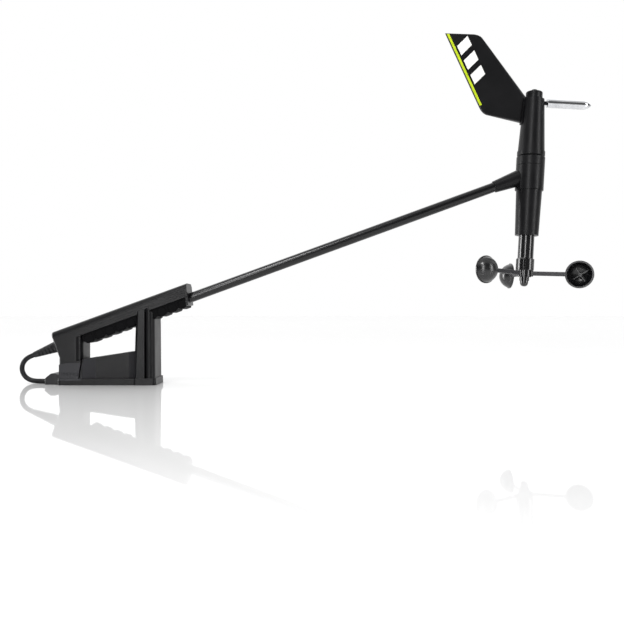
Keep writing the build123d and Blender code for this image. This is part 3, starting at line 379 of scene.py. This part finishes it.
anodisedTube = turnedMetal("hardAnodisedAluminium", {
    # black anodised tube: the dye hides the metal, and the drawn surface keeps long soft highlights
    "dark": "#09090b", "light": "#101012", "metallic": 0.15, "roughness": 0.24, "roughSpread": 0.03,
    "stretch": (0.03, 1, 1), "turn": (0, tiltOfArm, 0), "ringPitch": 0.8, "ringStrength": 0.03,
    "cloudSize": 30.0, "edge": 0.3,
})

finishOfSlot = {
    "satin_black": satinAbs,
    "gloss_black": glossNylon,
    "blade_black": bladeAbs,
    "black_aluminium": anodisedTube,
    "black_rubber": plugRubber,
    "steel": stainlessSteel,
    "polished_steel": polishedSteel,
    "black_steel": blackOxideSteel,
    "lime": stripeInk,
    "white": markInk,
    "board_green": boardLaminate,
}
finishOfNode = {
    **{f"cup_{i}": cupNylon for i in (1, 2, 3)},
    **{f"cup_arm_{i}": paintedLitArmNylon for i in (1, 2, 3)},
    "mast_foot": footAbs,
    "rib_grip": gripElastomer,
    "body_seal": sealSilicone,
    "signal_lead": cablePvc,
    "socket_lead": cablePvc,
}
slotOfNode = {part["node"]: part["material_slot"] for part in frame["record"]["subparts"]}
for name, obj in nodes.items():
    finish = finishOfNode.get(name, finishOfSlot[slotOfNode[name]])
    for materialSlot in obj.material_slots:
        materialSlot.material = finish
    if not obj.material_slots:
        obj.data.materials.append(finish)
cable.data.materials.append(cablePvc)
print("materials on", len(nodes), "nodes")

# ---- floor: a sheet of white acrylic that mirrors more the flatter it is seen ----
floorSheet = {"size": 24.0, "white": "#f6f6f6", "roughness": 0.03, "roughSpread": 0.2, "ior": 1.62, "hazeScale": 3.0}
floorMesh = bpy.data.meshes.new("floorSheet")
half = floorSheet["size"] / 2
corners = [(-half, -half, 0), (half, -half, 0), (half, half, 0), (-half, half, 0)]
floorMesh.from_pydata(corners, [], [(0, 1, 2, 3)])
floor = bpy.data.objects.new("floorSheet", floorMesh)
scene.collection.objects.link(floor)
floorFinish, tree, shader = surface("castWhiteAcrylic")
haze = addNode(
    tree, "ShaderNodeTexNoise", Vector=objectPlace(tree),
    Scale=floorSheet["hazeScale"], Detail=3.0, Roughness=0.5,
)
dulled = addNode(
    tree, "ShaderNodeMapRange", Value=haze.outputs["Fac"], i1=noiseLow, i2=noiseHigh,
    i3=floorSheet["roughness"] * (1 - floorSheet["roughSpread"]),
    i4=floorSheet["roughness"] * (1 + floorSheet["roughSpread"]),
)
plug(tree, shader, "Roughness", dulled.outputs["Result"])
shader.inputs["Base Color"].default_value = srgb(floorSheet["white"])
shader.inputs["IOR"].default_value = floorSheet["ior"]
floorMesh.materials.append(floorFinish)

# ---- light: a white studio, brighter behind the object than in front of it ----
studio = {"backdrop": 1.0, "front": 0.12, "dimBelow": -0.15, "fullAbove": 0.55}
world = bpy.data.worlds.new("studio")
scene.world = world
world.use_nodes = True
tree = world.node_tree
tree.nodes.clear()
direction = addNode(tree, "ShaderNodeTexCoord").outputs["Generated"]
parts = addNode(tree, "ShaderNodeSeparateXYZ", Vector=direction)
behind = addNode(
    tree, "ShaderNodeMapRange", {"interpolation_type": "SMOOTHSTEP"},
    Value=parts.outputs["Y"], i1=studio["dimBelow"], i2=studio["fullAbove"],
    i3=studio["front"], i4=studio["backdrop"],
)
seen = addNode(tree, "ShaderNodeLightPath")
strength = addNode(
    tree, "ShaderNodeMix", {"data_type": "FLOAT"},
    i0=seen.outputs["Is Camera Ray"], i2=behind.outputs["Result"], i3=studio["backdrop"],
)
background = addNode(tree, "ShaderNodeBackground", Color=(1, 1, 1, 1), Strength=strength.outputs[0])
addNode(tree, "ShaderNodeOutputWorld", Surface=background.outputs["Background"])

softboxes = {
    # name: place, what it points at, width and length in metres, watts
    "stripLeft": ((-0.30, -1.60, 0.55), (0.40, 0.0, 0.2), 0.26, 1.3, 11),
    "stripRight": ((1.75, -1.10, 0.55), (0.43, 0.0, 0.2), 0.34, 1.3, 13),
    "key": ((-0.55, -1.30, 1.90), (0.40, 0.0, 0.2), 0.4, 0.4, 16),
    "sideLeft": ((-1.60, 0.35, 0.35), (0.0, 0.0, 0.05), 0.5, 0.7, 14),
    "overhead": ((0.27, 1.2, 3.0), (0.27, 1.2, 0.0), 10.0, 7.0, 130),
}
for name, (place, target, width, length, watts) in softboxes.items():
    data = bpy.data.lights.new(name, "AREA")
    data.shape = "RECTANGLE"
    data.size = width
    data.size_y = length
    data.energy = watts
    lamp = bpy.data.objects.new(name, data)
    lamp.location = place
    aim(lamp, target)
    lamp.visible_camera = False
    scene.collection.objects.link(lamp)
scene.view_settings.view_transform = "Standard"
print("studio lit")

bpy.context.view_layer.update()
